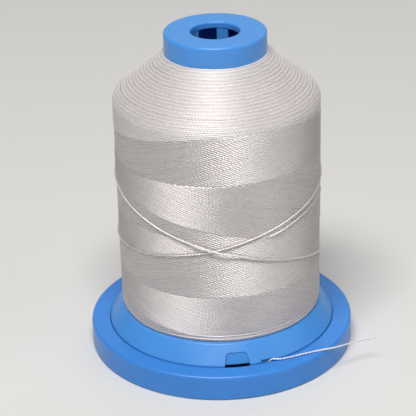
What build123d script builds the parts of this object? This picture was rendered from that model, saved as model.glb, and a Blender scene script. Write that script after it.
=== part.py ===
"""A snap spool of fine filament thread: a moulded foot that pops open by a few millimetres, a moulded
core whose conical flange closes onto it, the winding, its last loose crossing turn and the thread's
free end, which is pinched under the flange. Millimetres, +Z up, origin on the axis at the underside."""

from build123d import *
import os
from math import cos, hypot, pi, radians, sin, tan

# ---------------------------------------------------------------- driving dimensions
# foot
base_h = 4.4             # height of the foot's flat rim
rim_w = 3.1              # width of that rim, outside the seam
base_wall = 1.0          # moulding thickness of the foot
base_top_round = 0.5     # rounding of the rim's outer edge
base_foot_round = 0.3    # rounding of the edge it stands on
rib_count = 6            # stiffening ribs under the floor
rib_t = 1.0
rib_recess = 0.5         # the ribs stop this far above the table
recess_depth = 1.5       # depth of the recess whose floor pinches the thread end
finger_count = 4         # spring fingers that the slots leave in the sleeve
finger_slot = 1.2
sleeve_wall = 1.1
lip_h = 0.9              # height of the inward lip at the fingers' tips
stop_z = 0.9             # upper side of the ring that the core's skirt stands on

# core
barrel_r = 8.0
barrel_wall = 1.1
core_h = 56.2            # height of the collar's top over the table
collar_out = 0.45        # how far the collar stands out of the barrel
collar_h = 4.5           # height of the collar with its hidden foot
collar_round = 0.4
ring_t = 1.1             # thickness of the ring that closes the barrel's top
spindle_r = 4.0          # bore for the machine's spool pin
spindle_round = 0.35     # rounding of the bore's mouth
guide_count = 5          # ribs that carry the spool pin down the barrel
guide_w = 1.9
guide_relief = 0.05      # the guides stand this far back from the bore
guide_first = 18.0       # azimuth of the first guide, degrees from the back towards +X
guide_bottom_z = 3.0
bead_out = 0.5           # how far the snap bead stands out of the skirt
bead_h = 0.9
flange_r = 19.3          # edge of the conical flange
edge_rise = 0.25         # the edge's upper side stands this far above the foot's rim
flange_wall = 1.1
steep_run = 2.2          # steep outer cone, from the edge in to the knee
steep_h = 2.85
shallow_h = 5.1          # height of the shallow cone, from the knee to the barrel
notch_azimuths = (7.0, 187.0)   # degrees from the front (-Y) towards +X
notch_w = 4.2            # width at the flange's edge
notch_top_w = 3.4
notch_rise = 1.65        # height of the notch over the flange's edge
notch_corner = 0.7
notch_depth = 0.55       # depth of the recess in the flange at its foot
notch_top_depth = 0.1    # and at its top
notch_slot_drop = 0.15   # below this depth under the edge the recess opens under the flange
notch_reach = 3.3        # how far inside the land the notch's cut stops
nick_azimuth = 21.9      # small relief where the thread end comes up
nick_w = 2.0
nick_depth = 0.33
nick_rise = 0.2          # how far it reaches over the edge

# thread
thread_d = 0.3
package_over = 0.05      # how far the winding stands out over the flange's knee
package_foot_round = 0.5
collar_show = 3.4        # height of collar left bare over the winding
shoulder_h = 6.9         # height of the shoulder's cone, up to the collar
shoulder_inset = 0.3     # width of the shoulder's narrow top round the collar
shoulder_round = 3.1
lap_clear = 0.24         # crossing turn to winding at its route points, less between them
lap_rise = 0.42          # how far it rises where it passes over itself

# fits
seam_gap = 0.1           # flange edge to the foot's recess, radial
running_gap = 0.06       # bead in sleeve and skirt in lip, radial
seat_gap = 0.05          # skirt over its stop, and lip over bead at full lift
winding_gap = 0.05       # winding to core
pinch_gap = 0.03         # thread to the two faces that hold it, each side
lift = 3.0               # travel of the snap action

# ---------------------------------------------------------------- sizes that follow
recess_r = flange_r + seam_gap
base_r = recess_r + rim_w
floor_z = base_h - recess_depth
flange_edge_z = base_h + edge_rise
knee_r = flange_r - steep_run
knee_z = flange_edge_z + steep_h
root_z = knee_z + shallow_h
notch_top_z = flange_edge_z + notch_rise
notch_slot_z = flange_edge_z - notch_slot_drop
collar_r = barrel_r + collar_out
package_r = knee_r + package_over
shoulder_top_r = collar_r + shoulder_inset
shoulder_top_z = core_h - collar_show
shoulder_z = shoulder_top_z - shoulder_h
lap_r = package_r + thread_d / 2 + lap_clear
pinch_z = floor_z + thread_d + 2 * pinch_gap          # underside of the flange's edge
barrel_in_r = barrel_r - barrel_wall
bead_r = barrel_r + bead_out
sleeve_in_r = bead_r + running_gap
sleeve_out_r = sleeve_in_r + sleeve_wall
lip_r = barrel_r + running_gap
skirt_z = stop_z + seat_gap
bead_top_z = skirt_z + bead_h
lip_z = bead_top_z + lift + seat_gap
sleeve_top_z = lip_z + lip_h
collar_foot_z = core_h - collar_h
ring_z = core_h - ring_t
guide_r = spindle_r + guide_relief


def turned(outline):
    """The solid turned about Z from a closed outline of (radius, height) points."""
    points = [Vector(r, 0, z) for r, z in outline]
    return revolve(make_face(Polyline(*points, close=True)), Axis.Z)


def around(azimuth, r, z):
    """The point at an azimuth in degrees from the front (-Y) towards +X, a radius and a height."""
    a = radians(azimuth)
    return Vector(r * sin(a), -r * cos(a), z)


def radial_plane(azimuth):
    """A plane on the axis that looks outwards along an azimuth, with its local Y up."""
    out = around(azimuth, 1, 0)
    return Plane(origin=(0, 0, 0), x_dir=out.cross(Vector(0, 0, 1)) * -1, z_dir=out)


def rounded(solid, r, z, radius):
    """The solid with its circular edge at radius r and height z rounded."""
    edges = [
        e for e in solid.edges().filter_by(GeomType.CIRCLE)
        if abs(e.radius - r) < 1e-4 and abs(e.arc_center.Z - z) < 1e-4
    ]
    return fillet(edges, radius)


def inset(before, corner, after, thickness):
    """The point a thickness inside a corner of an outline, with both its sides moved by that much."""
    normals = []
    for (r0, z0), (r1, z1) in ((before, corner), (corner, after)):
        run = hypot(r1 - r0, z1 - z0)
        normals.append((-(z1 - z0) / run, (r1 - r0) / run))
    (ar, az), (br, bz) = normals
    share = thickness / (1 + ar * br + az * bz)
    return corner[0] + (ar + br) * share, corner[1] + (az + bz) * share


def steep_r(z, depth=0.0):
    """Radius of the flange's steep cone at a height, or of the surface a depth under it."""
    slope = (flange_r - knee_r) / (knee_z - flange_edge_z)
    return flange_r - (z - flange_edge_z) * slope - depth * hypot(1, slope)


# corners of the flange's outside and of its hollow underside
edge_top = (flange_r, flange_edge_z)
knee = (knee_r, knee_z)
root = (barrel_r, root_z)
knee_in = inset(edge_top, knee, root, flange_wall)
land_in_r = steep_r(pinch_z, flange_wall)
root_in_z = root_z - flange_wall * hypot(knee_r - barrel_r, root_z - knee_z) / (knee_r - barrel_r)


# ---------------------------------------------------------------- foot
def make_snap_base():
    """Tray with a flat rim, a recess for the flange, a slotted snap sleeve and ribs underneath."""
    under = floor_z - base_wall
    wall_out = recess_r + base_wall
    body = turned([
        (base_r, 0), (base_r, base_h), (recess_r, base_h), (recess_r, floor_z),
        (sleeve_out_r, floor_z), (sleeve_out_r, sleeve_top_z), (lip_r, sleeve_top_z),
        (lip_r, lip_z + bead_out / 2), (sleeve_in_r, lip_z), (sleeve_in_r, stop_z),
        (barrel_in_r, stop_z), (barrel_in_r, 0), (sleeve_out_r, 0), (sleeve_out_r, under),
        (wall_out, under), (wall_out, base_h - base_wall), (base_r - base_wall, base_h - base_wall),
        (base_r - base_wall, 0),
    ])
    body = rounded(body, base_r, base_h, base_top_round)
    body = rounded(body, base_r, 0, base_foot_round)
    body = rounded(body, recess_r, base_h, seam_gap / 2)
    slot_h = sleeve_top_z - floor_z
    for i in range(finger_count):
        slot = Box(2 * sleeve_wall + base_wall, finger_slot, slot_h + 1)
        centre = (sleeve_in_r, 0, floor_z + (slot_h + 1) / 2)
        body -= Rot(0, 0, (i + 0.5) * 360 / finger_count) * Pos(*centre) * slot
    rib_run = wall_out - sleeve_out_r + base_wall
    rib_h = under - rib_recess
    for i in range(rib_count):
        rib = Box(rib_run, rib_t, rib_h + base_wall / 2)
        centre = (sleeve_out_r - base_wall / 2 + rib_run / 2, 0, rib_recess + (rib_h + base_wall / 2) / 2)
        body += Rot(0, 0, i * 360 / rib_count) * Pos(*centre) * rib
    return body


# ---------------------------------------------------------------- core
def make_notch(azimuth):
    """Tool that cuts the recess in the flange's cone, open under the flange along its lower edge."""
    outline = Polyline(
        (-notch_w / 2, 0), (notch_w / 2, 0), (notch_w / 2, flange_edge_z),
        (notch_top_w / 2, notch_top_z), (-notch_top_w / 2, notch_top_z),
        (-notch_w / 2, flange_edge_z), close=True,
    )
    face = make_face(outline)
    face = fillet(face.vertices().group_by(Axis.Y)[-1], notch_corner)
    prism = extrude(radial_plane(azimuth) * face, flange_r + base_wall)
    panel_low = steep_r(notch_slot_z, notch_depth)
    panel_high = steep_r(notch_top_z, notch_top_depth)
    kept = turned([
        (0, notch_slot_z), (panel_low, notch_slot_z), (panel_high, notch_top_z), (0, notch_top_z),
    ])
    return prism - kept - Cylinder(land_in_r - notch_reach, 2 * core_h)


def make_spool_core():
    """Barrel with snap bead, hollow conical flange, collar, bore ring and guide ribs, in one piece."""
    core = turned([
        (barrel_in_r, skirt_z), (barrel_r, skirt_z), (bead_r, skirt_z + bead_h / 2),
        (bead_r, bead_top_z - bead_out / 2), (barrel_r, bead_top_z), (barrel_r, root_in_z), knee_in,
        (land_in_r, pinch_z), (flange_r, pinch_z), edge_top, knee, root,
        (barrel_r, collar_foot_z), (collar_r, collar_foot_z + collar_r - barrel_r),
        (collar_r, core_h), (spindle_r, core_h), (spindle_r, ring_z), (barrel_in_r, ring_z),
    ])
    core = rounded(core, collar_r, core_h, collar_round)
    core = rounded(core, spindle_r, core_h, spindle_round)
    guide_h = ring_z - guide_bottom_z
    guide_run = barrel_in_r + barrel_wall / 2
    for i in range(guide_count):
        guide = Box(guide_w, guide_run, guide_h + ring_t / 2)
        guide = Pos(0, guide_run / 2, guide_bottom_z + (guide_h + ring_t / 2) / 2) * guide
        guide -= Pos(0, 0, core_h / 2) * Cylinder(guide_r, core_h)
        core += Rot(0, 0, -(guide_first + i * 360 / guide_count)) * guide
    for azimuth in notch_azimuths:
        core -= make_notch(azimuth)
    nick = Box(nick_w, base_h, 2 * nick_depth)
    nick_z = flange_edge_z + nick_rise - base_h / 2
    core -= radial_plane(nick_azimuth) * Pos(0, nick_z, flange_r) * nick
    return core


# ---------------------------------------------------------------- winding
def make_thread_package():
    """The winding as one closed body: a cylinder with a conical shoulder, seated on the flange."""
    seat_r = knee_r - package_foot_round
    slope = (root_z - knee_z) / (knee_r - barrel_r)
    rise = winding_gap * hypot(1, slope)
    inner_r = barrel_r + winding_gap
    collar_clear_r = collar_r + winding_gap
    outline = Polyline(
        (inner_r, knee_z + (knee_r - inner_r) * slope + rise),
        (seat_r, knee_z + (knee_r - seat_r) * slope + rise),
        (package_r, knee_z + package_foot_round + rise),
        (package_r, shoulder_z),
        (shoulder_top_r, shoulder_top_z),
        (collar_clear_r, shoulder_top_z),
        (collar_clear_r, collar_foot_z + collar_clear_r - inner_r - winding_gap),
        (inner_r, collar_foot_z - winding_gap),
        close=True,
    )
    face = make_face(outline)
    corner = face.vertices().sort_by_distance((package_r, shoulder_z, 0))[0]
    face = fillet(corner, shoulder_round)
    return revolve(Plane.XZ * face, Axis.Z)


# ---------------------------------------------------------------- thread routes
# Outermost turn: azimuth in degrees, growing in the direction of winding, height, and 1 where it
# rises to pass over itself. It leaves the winding at the back and crosses itself at the front.
lap_route = [
    (-150, 20.5, 0), (-132, 20.6, 0), (-114, 20.7, 0), (-96, 20.9, 0), (-78, 21.2, 0),
    (-60, 21.7, 0), (-42, 22.4, 0), (-24, 23.5, 0), (-6, 24.6, 0), (12, 26.0, 0), (30, 27.4, 0),
    (48, 28.7, 0), (66, 29.9, 0), (84, 31.1, 0), (102, 32.0, 0), (120, 32.7, 0), (138, 33.2, 0),
    (156, 33.5, 0), (174, 33.7, 0), (192, 33.8, 0), (210, 33.8, 0), (228, 33.6, 0), (246, 33.1, 0),
    (264, 32.4, 0), (282, 31.4, 0), (300, 29.8, 0), (318, 28.3, 0), (333, 26.9, 0), (345, 25.9, 0),
    (353, 25.2, 1), (361, 24.5, 1), (369, 23.8, 0), (381, 22.7, 0), (396, 21.4, 0), (414, 19.8, 0),
    (432, 18.2, 0), (450, 16.6, 0), (468, 15.1, 0), (486, 13.6, 0), (504, 12.1, 0), (522, 10.7, 0),
    (538, 9.5, 0),
]
# Thread end: azimuth, radius and height. Over the winding's lower edge, down the cone and through
# the notch at the back, round under the flange's edge, up at the seam and out over the rim.
pinched_z = floor_z + pinch_gap + thread_d / 2
pinched_r = (land_in_r + flange_r) / 2
tail_route = [
    (538, lap_r, 9.5), (541.5, 17.53, 8.75), (543.5, 17.6, 7.8), (544.5, 18.1, 6.8),
    (545.6, 18.6, 5.7), (546.9, 19.06, 4.6), (548.6, 19.14, 3.6), (551, pinched_r, pinched_z),
]
tail_route += [(azimuth, pinched_r, pinched_z) for azimuth in range(556, 733, 11)]
tail_route += [
    (738, 19.15, pinched_z), (740.5, 19.17, pinched_z + 0.06), (742, 19.18, 3.65),
    (743.2, 19.18, 4.4), (744.5, 19.34, 4.84), (747.5, 19.9, 4.7), (752, 20.15, 4.59),
]
# the free stub, which stands out over the rim
tail_stub = [
    (13.6, -15.85, 4.6), (16.8, -14.7, 4.6), (18.7, -14.2, 4.62), (20.15, -13.5, 4.6),
    (21.75, -12.6, 4.6), (23.8, -11.7, 4.55), (25.95, -10.9, 4.5),
]


def make_strand(name, points):
    """A round strand along straight runs joined by arcs as large as the runs allow."""
    radii = []
    for a, b, c in zip(points, points[1:], points[2:]):
        half_turn = radians((b - a).get_angle(c - b)) / 2
        radii.append(0.45 * min((b - a).length, (c - b).length) / tan(half_turn))
    path = FilletPolyline(*points, radius=radii)
    strand = sweep(Plane(origin=path @ 0, z_dir=path % 0) * Circle(thread_d / 2), path=path)
    section = pi * thread_d**2 / 4
    print(name, "length", round(path.length, 2), "radii", [round(r, 1) for r in radii])
    print(name, "volume", round(strand.volume, 3), "section x length", round(section * path.length, 3))
    return strand


def make_crossing_turn():
    points = [around(azimuth, lap_r + over * lap_rise, z) for azimuth, z, over in lap_route]
    return make_strand("crossing_turn", points)


def make_thread_tail():
    points = [around(azimuth, r, z) for azimuth, r, z in tail_route]
    return make_strand("thread_tail", points + [Vector(*point) for point in tail_stub])


# ---------------------------------------------------------------- files
os.makedirs("parts", exist_ok=True)
export_step(make_snap_base(), "parts/snap_base.step")
export_step(make_spool_core(), "parts/spool_core.step")
export_step(make_thread_package(), "parts/thread_package.step")
export_step(make_crossing_turn(), "parts/crossing_turn.step")
export_step(make_thread_tail(), "parts/thread_tail.step")
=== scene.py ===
"""Looks of the snap thread spool: blue moulded plastic and pearl-white, cross-wound thread."""

import bpy
import numpy as np
from mathutils import Matrix, Vector


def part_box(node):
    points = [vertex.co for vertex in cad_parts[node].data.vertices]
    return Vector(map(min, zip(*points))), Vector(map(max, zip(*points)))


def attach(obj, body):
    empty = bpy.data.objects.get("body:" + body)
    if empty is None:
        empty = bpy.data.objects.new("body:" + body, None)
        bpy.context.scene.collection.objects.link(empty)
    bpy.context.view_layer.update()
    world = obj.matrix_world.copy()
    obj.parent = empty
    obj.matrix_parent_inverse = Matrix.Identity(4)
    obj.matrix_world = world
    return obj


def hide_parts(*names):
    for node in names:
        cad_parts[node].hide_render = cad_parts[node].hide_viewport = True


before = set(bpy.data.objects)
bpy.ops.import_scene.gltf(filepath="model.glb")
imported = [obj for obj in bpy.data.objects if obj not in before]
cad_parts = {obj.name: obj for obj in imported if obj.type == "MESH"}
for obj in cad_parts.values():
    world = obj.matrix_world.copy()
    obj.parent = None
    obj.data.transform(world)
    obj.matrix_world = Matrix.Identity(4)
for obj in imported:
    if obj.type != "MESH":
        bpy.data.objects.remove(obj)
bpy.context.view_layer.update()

MM = 0.001
TAU = 2 * np.pi

# ------------------------------------------------------------------ sizes from the frame, in mm
package_high = np.array(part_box("thread_package")[1]) / MM
package_r = package_high[0]
package_top = package_high[2]
thread_d = 0.3


def around(azimuth, r, z):
    """Points in mm at azimuths in degrees from the front (-Y) towards +X."""
    a = np.radians(azimuth)
    return np.stack(np.broadcast_arrays(r * np.sin(a), -r * np.cos(a), z), axis=-1)


# ------------------------------------------------------------------ camera
def add_camera():
    """Long lens in front of the spool, looking down at 26 degrees, with a slight roll."""
    elevation, roll = np.radians(25.89), -0.026
    target = np.array([-1.87, 0, 24.27])
    distance = 299.3
    back = np.array([0, -np.cos(elevation), np.sin(elevation)])
    up = np.array([0, np.sin(elevation), np.cos(elevation)])
    right = np.array([1.0, 0, 0])
    x = np.cos(roll) * right + np.sin(roll) * up
    y = -np.sin(roll) * right + np.cos(roll) * up
    place = Matrix.Identity(4)
    for i, column in enumerate((x, y, back, (target + back * distance) * MM)):
        for j in range(3):
            place[j][i] = column[j]
    data = bpy.data.cameras.new("camera")
    data.lens = 152.8
    data.sensor_width = 36
    data.clip_start = 0.01
    data.clip_end = 20
    camera = bpy.data.objects.new("camera", data)
    camera.matrix_world = place
    bpy.context.collection.objects.link(camera)
    bpy.context.scene.camera = camera


add_camera()


# ------------------------------------------------------------------ mesh helpers
def mesh_object(name, vertices, quads, smooth=True):
    """A mesh object from vertices in mm and faces of four corners."""
    mesh = bpy.data.meshes.new(name)
    vertices = np.asarray(vertices, dtype=np.float64) * MM
    quads = np.asarray(quads, dtype=np.int32)
    mesh.vertices.add(len(vertices))
    mesh.vertices.foreach_set("co", vertices.astype(np.float32).ravel())
    mesh.loops.add(quads.size)
    mesh.loops.foreach_set("vertex_index", quads.ravel())
    mesh.polygons.add(len(quads))
    mesh.polygons.foreach_set("loop_start", np.arange(0, quads.size, 4, dtype=np.int32))
    mesh.update(calc_edges=True)
    mesh.validate()
    if smooth:
        mesh.polygons.foreach_set("use_smooth", np.ones(len(quads), dtype=bool))
    piece = bpy.data.objects.new(name, mesh)
    bpy.context.collection.objects.link(piece)
    return piece


def set_attribute(piece, name, values):
    """Gives each vertex a number or a vector that the material reads."""
    kind, field = ("FLOAT", "value") if np.shape(values)[-1] != 3 else ("FLOAT_VECTOR", "vector")
    attribute = piece.data.attributes.new(name, kind, "POINT")
    attribute.data.foreach_set(field, np.asarray(values, dtype=np.float32).ravel())


def grid_quads(rows, columns, wrap, offset=0):
    """Quads of a grid of rows x columns vertices, closed round its columns where wrap is set."""
    r = np.arange(rows - 1)[:, None]
    c = np.arange(columns if wrap else columns - 1)[None, :]
    n = (c + 1) % columns
    quads = np.stack(
        [r * columns + c, r * columns + n, (r + 1) * columns + n, (r + 1) * columns + c], axis=-1
    )
    return quads.reshape(-1, 4) + offset


# ------------------------------------------------------------------ strands of thread
def spline_line(points):
    """The line that one smooth spline follows, with these control points in mm."""
    curve = bpy.data.curves.new("line", "CURVE")
    curve.dimensions = "3D"
    spline = curve.splines.new("NURBS")
    spline.points.add(len(points) - 1)
    for point, place in zip(spline.points, points):
        point.co = (*(np.asarray(place) * MM), 1)
    spline.order_u = 3
    spline.use_endpoint_u = True
    spline.resolution_u = 12
    holder = bpy.data.objects.new("line", curve)
    bpy.context.collection.objects.link(holder)
    mesh = bpy.data.meshes.new_from_object(holder)
    line = np.array([v.co for v in mesh.vertices]) / MM
    bpy.data.meshes.remove(mesh)
    bpy.data.objects.remove(holder)
    bpy.data.curves.remove(curve)
    return line


def resample(line, step):
    """The line with points about a step apart."""
    gaps = np.linalg.norm(np.diff(line, axis=0), axis=1)
    along = np.concatenate([[0], np.cumsum(gaps)])
    count = max(3, int(along[-1] / step) + 1)
    at = np.linspace(0, along[-1], count)
    return np.stack([np.interp(at, along, line[:, i]) for i in range(3)], axis=1), at


def frames_along(line):
    """Tangents and two normals at each point of a line, turned as little as possible."""
    tangent = np.gradient(line, axis=0)
    tangent /= np.linalg.norm(tangent, axis=1)[:, None]
    first = np.cross(tangent[0], [0, 0, 1.0])
    if np.linalg.norm(first) < 1e-6:
        first = np.array([1.0, 0, 0])
    side = np.zeros_like(line)
    side[0] = first / np.linalg.norm(first)
    for i in range(1, len(line)):
        v = side[i - 1] - tangent[i] * (side[i - 1] @ tangent[i])
        side[i] = v / np.linalg.norm(v)
    return tangent, side, np.cross(tangent, side)


PLY_LAY = 1.15          # length in which a ply goes once round the thread
THREAD_STEP = 0.07      # distance between a strand's cross-sections


def twisted_thread(name, points, diameter=thread_d, plies=2, sides=8, taper=0.0):
    """A thread of twisted plies along a smooth line with these control points in mm. Returns the
    piece and its centreline."""
    line, at = resample(spline_line(points), THREAD_STEP)
    _, side, up = frames_along(line)
    ply_r = diameter * 0.305
    orbit = diameter / 2 - ply_r
    vertices, faces = [], []
    corner = np.arange(sides) * TAU / sides
    tangent = np.gradient(line, axis=0)
    tangent /= np.linalg.norm(tangent, axis=1)[:, None]
    for ply in range(plies):
        angle = at / PLY_LAY * TAU + ply * TAU / plies
        centre = line + orbit * (np.cos(angle)[:, None] * side + np.sin(angle)[:, None] * up)
        size = np.full(len(at), ply_r)
        if taper:
            size *= np.clip((at[-1] - at) / taper, 0.35, 1)
        ring = (
            np.cos(corner)[None, :, None] * side[:, None, :]
            + np.sin(corner)[None, :, None] * up[:, None, :]
        )
        body = centre[:, None, :] + ring * size[:, None, None]
        start = sum(len(v) for v in vertices)
        vertices.append(body.reshape(-1, 3))
        faces.append(grid_quads(len(line), sides, True, start))
        for end, row in ((0, 0), (1, len(line) - 1)):
            ring_start = start + row * sides
            order = np.arange(sides) if end else np.arange(sides)[::-1]
            cap = ring_start + order
            faces.append(
                np.array([[cap[0], cap[i], cap[i + 1], cap[i + 2]] for i in range(1, sides - 2, 2)])
            )
    piece = mesh_object(name, np.concatenate(vertices), np.concatenate(faces))
    set_attribute(piece, "thread_way", np.tile(np.repeat(tangent, sides, axis=0), (plies, 1)))
    return piece, line


lap_r = 17.54           # radius of the crossing turn's route points, in mm
lap_rise = 0.42         # how far it rises where it passes over itself
lap_settle = 0.1        # the soft twisted strand lies this much closer than a round one
# azimuth in degrees, height, and 1 where the turn rises over itself
lap_route = [
    (-150, 20.5, 0), (-132, 20.6, 0), (-114, 20.7, 0), (-96, 20.9, 0), (-78, 21.2, 0),
    (-60, 21.7, 0), (-42, 22.4, 0), (-24, 23.5, 0), (-6, 24.6, 0), (12, 26.0, 0), (30, 27.4, 0),
    (48, 28.7, 0), (66, 29.9, 0), (84, 31.1, 0), (102, 32.0, 0), (120, 32.7, 0), (138, 33.2, 0),
    (156, 33.5, 0), (174, 33.7, 0), (192, 33.8, 0), (210, 33.8, 0), (228, 33.6, 0), (246, 33.1, 0),
    (264, 32.4, 0), (282, 31.4, 0), (300, 29.8, 0), (318, 28.3, 0), (333, 26.9, 0), (345, 25.9, 0),
    (353, 25.2, 1), (361, 24.5, 1), (369, 23.8, 0), (381, 22.7, 0), (396, 21.4, 0), (414, 19.8, 0),
    (432, 18.2, 0), (450, 16.6, 0), (468, 15.1, 0), (486, 13.6, 0), (504, 12.1, 0), (522, 10.7, 0),
    (538, 9.5, 0),
]
pinched_z = 3.08        # where the flange's edge holds the thread
pinched_r = 19.142
# azimuth in degrees, radius and height
tail_route = [
    (538, lap_r, 9.5), (541.5, 17.53, 8.75), (543.5, 17.6, 7.8), (544.5, 18.1, 6.8),
    (545.6, 18.6, 5.7), (546.9, 19.06, 4.6), (548.6, 19.14, 3.6), (551, pinched_r, pinched_z),
]
tail_route += [(azimuth, pinched_r, pinched_z) for azimuth in range(556, 733, 11)]
tail_route += [
    (738, 19.15, pinched_z), (740.5, 19.17, pinched_z + 0.06), (742, 19.18, 3.65),
    (743.2, 19.18, 4.4), (744.5, 19.34, 4.84), (747.5, 19.9, 4.7), (752, 20.15, 4.59),
]
# x, y and z of the free stub
tail_stub = [
    (13.6, -15.85, 4.6), (16.8, -14.7, 4.6), (18.7, -14.2, 4.62), (20.15, -13.5, 4.6),
    (21.75, -12.6, 4.6), (23.8, -11.7, 4.55), (25.95, -10.9, 4.5),
]


def add_thread_tail():
    """The thread's free end."""
    points = [around(a, r, z) for a, r, z in tail_route] + [np.array(p) for p in tail_stub]
    piece, line = twisted_thread("thread_end", points, taper=0.25)
    length = np.linalg.norm(np.diff(line, axis=0), axis=1).sum()
    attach(piece, "spool")
    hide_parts("thread_tail")
    print("thread_end length mm", round(length, 2))
    return piece


def add_crossing_turn():
    """The outermost turn, which leaves the winding at the back and crosses itself at the front."""
    points = [around(-166, 16.75, 20.45), around(-158, 17.15, 20.47)]
    points += [
        around(a, lap_r - lap_settle + over * (lap_rise - lap_settle), z)
        for a, z, over in lap_route
    ]
    piece, _ = twisted_thread("crossing_turn_strand", points)
    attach(piece, "spool")
    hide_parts("crossing_turn")
    return piece


def add_under_strand():
    """A loose strand beside the crossing turn, which comes out of the winding and sinks back in."""
    # azimuth in degrees, height and radius
    route = [
        (98, 27.4, 16.8), (90, 28.0, 17.15), (78, 28.4, 17.36), (60, 28.3, 17.36),
        (46.5, 27.5, 17.36), (34, 26.6, 17.34), (27, 26.15, 17.15), (20, 25.9, 16.8),
    ]
    piece, _ = twisted_thread("under_strand", [around(a, r, z) for a, z, r in route])
    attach(piece, "spool")
    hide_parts("thread_package")
    return piece


tail = add_thread_tail()
crossing = add_crossing_turn()
under = add_under_strand()

# ------------------------------------------------------------------ winding
COLUMNS = 880           # vertices round the spool
ROW_STEP = 0.0625       # distance between rows of vertices
ROWS_PER_PIECE = 110
PITCH = 0.31            # distance between neighbouring threads
LAY_COUNT = 104         # threads that cross any level, all round
TURN_PITCH = 2          # threads that the turns on the shoulder and foot climb in one turn
PLY_ORBIT = 0.05        # plies' centres to the thread's centre
PLY_R = 0.10
CREASE = 0.10           # half width of the creases between layers
TOP_TURNS = (44.6, 46.8)        # heights between which every other turn of the shoulder sinks
UNDER_SURFACE = 0.16    # the body's crowns lie this far inside the winding's outline
LAP_SINK = 0.07         # how far the crossing turn sinks between the threads under it

circumference = TAU * package_r
sin_lay = LAY_COUNT * PITCH / circumference
cos_lay = np.sqrt(1 - sin_lay**2)


def curve_of(*points):
    """A height in mm as a periodic function of azimuth in degrees, through the points given."""
    azimuths, heights = zip(*points)

    def height(azimuth):
        return np.interp((azimuth + 180) % 360 - 180, azimuths, heights, period=360)

    return height


# edges between the winding's layers, as azimuth and height
shoulder_line = curve_of(
    (-150, 42.4), (-118, 40.6), (-84, 40.2), (-66, 41.2), (-50, 42.0), (-25, 43.5), (0, 44.5),
    (30, 44.7), (54, 44.0), (70, 43.5), (88, 42.5), (125, 41.8), (170, 43.4),
)
upper_line = curve_of((-180, 36.1), (-60, 36.0), (0, 36.15), (60, 36.2), (120, 36.0))
middle_line = curve_of((-180, 26.6), (-60, 26.5), (0, 26.55), (60, 26.7), (120, 26.5))
lower_line = curve_of((-180, 15.9), (-60, 16.0), (0, 16.05), (60, 16.0), (120, 16.1))
foot_line = curve_of(
    (-180, 9.0), (-120, 10.6), (-78, 10.4), (-60, 10.3), (-43, 9.6), (-28, 9.1), (-10, 8.6),
    (10, 8.3), (60, 8.7), (120, 9.6),
)


def fallen_line(azimuth):
    """Edge of the last falling layer, one long helix from the upper line to the lower one."""
    return 31.4 - 0.0565 * (azimuth + 66)


def smooth_noise(azimuth, z, waves, seed):
    """Smooth noise in about -1..1, periodic round the spool."""
    draw = np.random.default_rng(seed)
    total = 0
    for _ in range(waves):
        turns = draw.integers(1, 9)
        up = draw.uniform(-0.5, 0.5)
        total = total + np.sin(turns * azimuth + up * z + draw.uniform(0, TAU))
    return total / np.sqrt(waves)


def thread_relief(along, across, phase_step, seed):
    """Height in mm, 0 at the crowns, of parallel threads of two twisted plies each."""
    k = np.floor(across / PITCH).astype(int)
    off = across - (k + 0.5) * PITCH
    draw = np.random.default_rng(seed)
    shift = draw.uniform(-0.5, 0.5, 4096)[k % 4096]
    sway = 0.018 * np.sin(along * 0.9 + 40 * shift)
    angle = along / PLY_LAY * TAU + k * phase_step + 1.6 * shift
    side = PLY_ORBIT * np.cos(angle)
    rise = PLY_ORBIT * np.sin(angle)
    first = rise + np.sqrt(np.maximum(PLY_R**2 - (off - sway - side) ** 2, 0))
    second = -rise + np.sqrt(np.maximum(PLY_R**2 - (off - sway + side) ** 2, 0))
    top = np.maximum(first, second) - (PLY_ORBIT + PLY_R)
    return np.maximum(top, -0.14) + 0.018 * shift


def lap_heights(degrees):
    """Heights in mm at which the two passes of the crossing turn lie at these azimuths."""
    azimuths = np.array([a for a, _, _ in lap_route], dtype=float)
    heights = np.array([h for _, h, _ in lap_route])
    first = np.where(degrees < -150, degrees + 360, degrees)
    second = np.where(degrees + 360 > 538, degrees, degrees + 360)
    return np.interp(first, azimuths, heights), np.interp(second, azimuths, heights)


def smoothstep(x, low, high):
    t = np.clip((x - low) / (high - low), 0, 1)
    return t * t * (3 - 2 * t)


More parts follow.
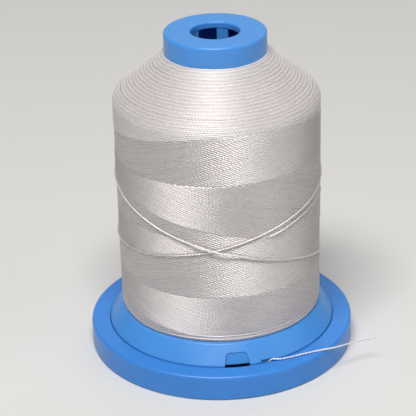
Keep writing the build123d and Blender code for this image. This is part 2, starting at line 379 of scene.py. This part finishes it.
def relief(azimuth, s, z):
    """Height in mm of the winding's surface over its smooth outline, the height of its threads
    alone, and how steeply they climb."""
    degrees = (np.degrees(azimuth) + 180) % 360 - 180
    around_mm = azimuth * package_r
    rising = thread_relief(
        around_mm * cos_lay + z * sin_lay, (z - 36.1) * cos_lay - around_mm * sin_lay, 2.2, 3
    )
    falling = thread_relief(
        around_mm * cos_lay - z * sin_lay, (z - 36.1) * cos_lay + around_mm * sin_lay, 2.2, 5
    )
    turn_across = s - TURN_PITCH * PITCH * azimuth / TAU
    turning = thread_relief(around_mm, turn_across, 1.1, 9)
    low_turn = np.floor(turn_across / PITCH).astype(int) % TURN_PITCH == 1
    turning = turning - 0.06 * low_turn * smoothstep(z, *TOP_TURNS)

    a_line = shoulder_line(degrees)
    up_line, mid_line, low_line = upper_line(degrees), middle_line(degrees), lower_line(degrees)
    ft_line = foot_line(degrees)
    laps = lap_heights(degrees)
    lap_line = laps[0]
    first_lap = 24.55 - 0.088 * degrees
    round_once = np.where(degrees < -150, degrees + 360, degrees)
    fall = fallen_line(round_once)
    fall_end = 26.6 + 0.09 * (round_once - 104)
    fall_fade = smoothstep(round_once, -150, -105) * (1 - smoothstep(round_once, 90, 190))

    falling_upper = (z <= up_line) & (z > np.maximum(fall, mid_line)) & (z > fall_end)
    wedge = (z <= mid_line) & (z > lap_line) & (degrees < -2) & (z < first_lap)
    wedge &= z < 20.6 + 0.1 * (round_once + 150)
    wedge &= degrees > -150
    lower_band = (z <= low_line) & (z > ft_line)
    height = np.where(falling_upper | wedge | lower_band, falling, rising)
    foot_turns = z < 8.3 + 0.9 * smoothstep(degrees, -40, -5) * (1 - smoothstep(degrees, 55, 90))
    turning = turning - 0.07 * low_turn * (z < 10)
    height = np.where((z > a_line) | foot_turns, turning, height)
    threads = height

    beads = 0.65 + 0.35 * np.sin(azimuth * LAY_COUNT)

    def groove(line, depth, width):
        return -depth * beads * np.exp(-(((z - line) / width) ** 2))

    def step(line, size, width=0.06):
        """Raised by size above the line, on the body."""
        return size / (1 + np.exp(-np.clip((z - line) / width, -30, 30)))

    over_left = np.tanh(-np.sin(azimuth) * 5)
    height = height + groove(up_line, 0.08, CREASE) + groove(mid_line, 0.05, CREASE)
    height = height + groove(low_line, 0.07, CREASE) + groove(a_line, 0.05, CREASE)
    height = height + step(up_line, -0.055 * over_left)
    height = height + step(low_line, 0.05 * smoothstep(-np.sin(azimuth), -0.6, 0.1))
    height = height + step(a_line, 0.05 * over_left)
    height = height + step(ft_line, 0.06) + step(fall, 0.10) * (z < up_line) * fall_fade
    height = height + groove(fall, 0.06, 0.09) * (z < up_line) * fall_fade
    height = height - UNDER_SURFACE + step(up_line, 0.07)
    height = height + 0.025 * smooth_noise(azimuth, z, 6, 21)
    for lap in laps:
        height = height - LAP_SINK * np.exp(-(((z - lap) / 0.17) ** 2))
    way = np.where(falling_upper | wedge | lower_band, -sin_lay, sin_lay)
    way = np.where((z > a_line) | foot_turns, 0.03, way)
    return height, threads, way


def package_outline():
    """Outline of the winding from under its lower edge to the collar, as (radius, height) in mm, at
    even steps, with outward normals and the length along it."""
    seat_z = 7.55
    shoulder_z, shoulder_round = 45.9, 3.1
    top_r = 8.75
    slope = np.arctan2(package_top - shoulder_z, package_r - top_r)
    turn = np.pi / 2 - slope
    tangent_run = shoulder_round * np.tan(turn / 2)
    arc = np.linspace(0, turn, 40)
    foot = np.linspace(-np.pi / 2, 0, 12)
    foot_round = 0.8
    points = [(package_r - 1.6, seat_z + 0.1)]
    points += [
        (package_r - foot_round + foot_round * np.cos(a),
         seat_z + foot_round + foot_round * np.sin(a))
        for a in foot
    ]
    points += [
        (package_r - shoulder_round + shoulder_round * np.cos(a),
         shoulder_z - tangent_run + shoulder_round * np.sin(a))
        for a in arc
    ]
    points += [(top_r, package_top), (8.5, package_top - 0.05)]
    points = np.array(points)
    gaps = np.linalg.norm(np.diff(points, axis=0), axis=1)
    along = np.concatenate([[0], np.cumsum(gaps)])
    s = np.arange(0, along[-1], ROW_STEP)
    r = np.interp(s, along, points[:, 0])
    z = np.interp(s, along, points[:, 1])
    smooth = np.ones(9) / 9
    dr = np.convolve(np.pad(np.gradient(r, s), 4, mode="edge"), smooth, mode="valid")
    dz = np.convolve(np.pad(np.gradient(z, s), 4, mode="edge"), smooth, mode="valid")
    size = np.hypot(dr, dz)
    return s, r, z, dz / size, -dr / size


def lay_flat(piece, rows):
    """Bake map of a ring: its rows of faces one over another, opened at the front."""
    row, column = np.meshgrid(np.arange(rows), np.arange(COLUMNS), indexing="ij")
    u = (column[..., None] + np.array([0, 1, 1, 0])) / COLUMNS
    v = (row[..., None] + np.array([0, 0, 1, 1])) / rows
    flat = np.stack([u, v], axis=-1).astype(np.float32)
    layer = piece.data.uv_layers.new(name="OFBake")
    layer.uv.foreach_set("vector", flat.ravel())


def add_winding():
    """The winding's surface as closed rings stacked up the spool, threads modelled one by one."""
    s, r, z, normal_r, normal_z = package_outline()
    azimuth = np.arange(COLUMNS) * TAU / COLUMNS
    grid_azimuth, grid_s = np.meshgrid(azimuth, s)
    height, threads, way = relief(grid_azimuth, grid_s, np.broadcast_to(z[:, None], grid_s.shape))
    level_turns = 1 - smoothstep(np.abs(way), 0.04, 0.1)
    along_x = np.cos(grid_azimuth) * np.sqrt(1 - way**2)
    along_y = np.sin(grid_azimuth) * np.sqrt(1 - way**2)
    thread_way = np.stack([along_x, along_y, way], axis=-1)
    radius = r[:, None] + normal_r[:, None] * height
    level = z[:, None] + normal_z[:, None] * height
    pieces = []
    rows = len(s)
    for number, start in enumerate(range(0, rows - 1, ROWS_PER_PIECE)):
        stop = min(start + ROWS_PER_PIECE + 1, rows)
        outer_r, outer_z = radius[start:stop], level[start:stop]
        inner_r = np.maximum(r[[start, stop - 1]] - 0.9, 8.0)[:, None] * np.ones(COLUMNS)
        inner_z = np.stack([outer_z[0], outer_z[-1]])
        ring_r = np.concatenate([inner_r[:1], outer_r, inner_r[1:]])
        ring_z = np.concatenate([inner_z[:1], outer_z, inner_z[1:]])
        count = len(ring_r)
        x = ring_r * np.sin(azimuth)
        y = -ring_r * np.cos(azimuth)
        vertices = np.stack([x, y, ring_z], axis=-1).reshape(-1, 3)
        quads = grid_quads(count, COLUMNS, True)
        closing = grid_quads(2, COLUMNS, True)
        closing = np.where(closing < COLUMNS, closing + (count - 1) * COLUMNS, closing - COLUMNS)
        piece = mesh_object(f"winding_{number:02d}", vertices, np.concatenate([quads, closing]))
        lay_flat(piece, count)
        here = np.r_[start, start:stop, stop - 1]
        # The depth attribute drives the thread material's painted shade in the grooves between the
        # threads.
        set_attribute(piece, "depth", threads[here])
        set_attribute(piece, "level_turns", level_turns[here])
        set_attribute(piece, "thread_way", thread_way[here])
        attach(piece, "spool")
        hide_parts("thread_package")
        pieces.append(piece)
    return pieces


winding = add_winding()


# ------------------------------------------------------------------ materials
def new_material(name):
    material = bpy.data.materials.new(name)
    material.use_nodes = True
    nodes = material.node_tree.nodes
    return material, nodes, material.node_tree.links, nodes["Principled BSDF"]


def thread_material():
    """Pearl-white filament: lustrous, less so where the turns lie level on the shoulder, and with
    painted shade that makes it darker and warmer down between the threads."""
    material, nodes, links, shader = new_material("pearl_thread")
    # Painted shade: the depth attribute blends the base colour from the bright crown colour B down
    # to the darker, warmer colour A in the grooves between the threads.
    depth = nodes.new("ShaderNodeAttribute")
    depth.attribute_name = "depth"
    painted_groove_shade = nodes.new("ShaderNodeMapRange")
    painted_groove_shade.inputs["From Min"].default_value = -0.16
    painted_groove_shade.inputs["From Max"].default_value = -0.01
    links.new(depth.outputs["Fac"], painted_groove_shade.inputs["Value"])
    mix = nodes.new("ShaderNodeMix")
    mix.data_type = "RGBA"
    mix.inputs["A"].default_value = (0.58, 0.51, 0.505, 1)
    mix.inputs["B"].default_value = (0.95, 0.91, 0.90, 1)
    links.new(painted_groove_shade.outputs["Result"], mix.inputs["Factor"])
    coords = nodes.new("ShaderNodeTexCoord")
    noise = nodes.new("ShaderNodeTexNoise")
    noise.inputs["Scale"].default_value = 2400
    noise.inputs["Detail"].default_value = 3
    links.new(coords.outputs["Object"], noise.inputs["Vector"])
    shade = nodes.new("ShaderNodeMapRange")
    shade.inputs["From Min"].default_value = 0.3
    shade.inputs["From Max"].default_value = 0.7
    shade.inputs["To Min"].default_value = 0.88
    shade.inputs["To Max"].default_value = 1.0
    links.new(noise.outputs["Fac"], shade.inputs["Value"])
    tint = nodes.new("ShaderNodeMix")
    tint.data_type = "RGBA"
    tint.blend_type = "MULTIPLY"
    tint.inputs["Factor"].default_value = 1
    links.new(mix.outputs["Result"], tint.inputs["A"])
    links.new(shade.outputs["Result"], tint.inputs["B"])
    links.new(tint.outputs["Result"], shader.inputs["Base Color"])
    gloss = nodes.new("ShaderNodeMapRange")
    gloss.inputs["To Min"].default_value = 0.50
    gloss.inputs["To Max"].default_value = 0.60
    links.new(noise.outputs["Fac"], gloss.inputs["Value"])
    links.new(gloss.outputs["Result"], shader.inputs["Roughness"])
    way = nodes.new("ShaderNodeAttribute")
    way.attribute_name = "thread_way"
    links.new(way.outputs["Vector"], shader.inputs["Tangent"])
    level = nodes.new("ShaderNodeAttribute")
    level.attribute_name = "level_turns"
    pearl_gloss = nodes.new("ShaderNodeMapRange")
    pearl_gloss.inputs["To Min"].default_value = 0.62
    pearl_gloss.inputs["To Max"].default_value = 0.20
    links.new(level.outputs["Fac"], pearl_gloss.inputs["Value"])
    links.new(pearl_gloss.outputs["Result"], shader.inputs["Metallic"])
    shader.inputs["Anisotropic"].default_value = 0.85
    shader.inputs["Anisotropic Rotation"].default_value = 0.25
    shader.inputs["IOR"].default_value = 1.7
    shader.inputs["Specular IOR Level"].default_value = 1.0
    return material


def plastic_material(name, color, roughness):
    """Moulded plastic: faintly uneven gloss and a fine orange-peel surface."""
    material, nodes, links, shader = new_material(name)
    coords = nodes.new("ShaderNodeTexCoord")
    cloud = nodes.new("ShaderNodeTexNoise")
    cloud.inputs["Scale"].default_value = 120
    cloud.inputs["Detail"].default_value = 4
    links.new(coords.outputs["Object"], cloud.inputs["Vector"])
    mix = nodes.new("ShaderNodeMix")
    mix.data_type = "RGBA"
    mix.inputs["A"].default_value = (*[c * 0.94 for c in color], 1)
    mix.inputs["B"].default_value = (*[min(1, c * 1.05) for c in color], 1)
    links.new(cloud.outputs["Fac"], mix.inputs["Factor"])
    links.new(mix.outputs["Result"], shader.inputs["Base Color"])
    gloss = nodes.new("ShaderNodeMapRange")
    gloss.inputs["To Min"].default_value = roughness - 0.06
    gloss.inputs["To Max"].default_value = roughness + 0.06
    links.new(cloud.outputs["Fac"], gloss.inputs["Value"])
    links.new(gloss.outputs["Result"], shader.inputs["Roughness"])
    peel = nodes.new("ShaderNodeTexNoise")
    peel.inputs["Scale"].default_value = 1500
    links.new(coords.outputs["Object"], peel.inputs["Vector"])
    bump = nodes.new("ShaderNodeBump")
    bump.inputs["Strength"].default_value = 0.08
    bump.inputs["Distance"].default_value = 0.0002
    links.new(peel.outputs["Fac"], bump.inputs["Height"])
    edge = nodes.new("ShaderNodeBevel")
    edge.samples = 8
    edge.inputs["Radius"].default_value = 0.00016
    links.new(edge.outputs["Normal"], bump.inputs["Normal"])
    links.new(bump.outputs["Normal"], shader.inputs["Normal"])
    shader.inputs["Subsurface Weight"].default_value = 0.40
    shader.inputs["Subsurface Radius"].default_value = (0.3, 0.6, 1.0)
    shader.inputs["Subsurface Scale"].default_value = 0.0016
    return material


pearl = thread_material()
for piece in [*winding, tail, crossing, under]:
    piece.data.materials.append(pearl)


def dress(node, material):
    """Gives a CAD node its finish."""
    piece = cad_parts[node]
    for place in piece.material_slots:
        place.material = material


dress("snap_base", plastic_material("foot_blue", (0.042, 0.243, 0.68), 0.36))
dress("spool_core", plastic_material("core_blue", (0.070, 0.300, 0.735), 0.32))


# ------------------------------------------------------------------ stage and light
def add_floor():
    """A plain pale floor that curves up into a backdrop."""
    half, depth, rise, bend = 4000, 900, 1500, 300
    profile = [(-4000, 0), (depth - bend, 0)]
    profile += [
        (depth - bend + bend * np.sin(a), bend - bend * np.cos(a))
        for a in np.linspace(0, np.pi / 2, 24)[1:]
    ]
    profile += [(depth, rise)]
    profile = np.array(profile)
    vertices = [(x, y, z) for y, z in profile for x in (-half, half)]
    floor = mesh_object("floor", vertices, grid_quads(len(profile), 2, False)[:, ::-1])
    material, nodes, links, shader = new_material("floor_paper")
    noise = nodes.new("ShaderNodeTexNoise")
    noise.inputs["Scale"].default_value = 8
    mix = nodes.new("ShaderNodeMix")
    mix.data_type = "RGBA"
    mix.inputs["A"].default_value = (0.70, 0.69, 0.67, 1)
    mix.inputs["B"].default_value = (0.74, 0.73, 0.71, 1)
    links.new(noise.outputs["Fac"], mix.inputs["Factor"])
    links.new(mix.outputs["Result"], shader.inputs["Base Color"])
    shader.inputs["Roughness"].default_value = 0.8
    floor.data.materials.append(material)


def add_area(name, place, target, size, watts, color=(1, 1, 1)):
    light = bpy.data.lights.new(name, "AREA")
    light.shape = "RECTANGLE"
    light.size, light.size_y = size
    light.energy = watts
    light.color = color
    holder = bpy.data.objects.new(name, light)
    holder.location = place
    direction = Vector(target) - Vector(place)
    holder.rotation_euler = direction.to_track_quat("-Z", "Y").to_euler()
    bpy.context.collection.objects.link(holder)


def add_light():
    middle = (0, 0, 0.03)
    add_area("key", (-0.07, -0.36, 0.72), middle, (0.46, 0.20), 6.4)
    add_area("fill_left", (-0.9, -0.5, 0.45), middle, (0.6, 0.6), 0.03)
    add_area("fill_right", (0.9, -0.35, 0.45), middle, (0.6, 0.6), 0.95)
    add_area("rim", (0.2, 0.8, 0.8), middle, (0.8, 0.4), 1.4)
    world = bpy.data.worlds.new("world")
    world.use_nodes = True
    world.node_tree.nodes["Background"].inputs["Color"].default_value = (0.92, 0.95, 1.0, 1)
    world.node_tree.nodes["Background"].inputs["Strength"].default_value = 0.10
    bpy.context.scene.world = world


add_floor()
add_light()
bpy.context.scene.view_settings.view_transform = "Standard"
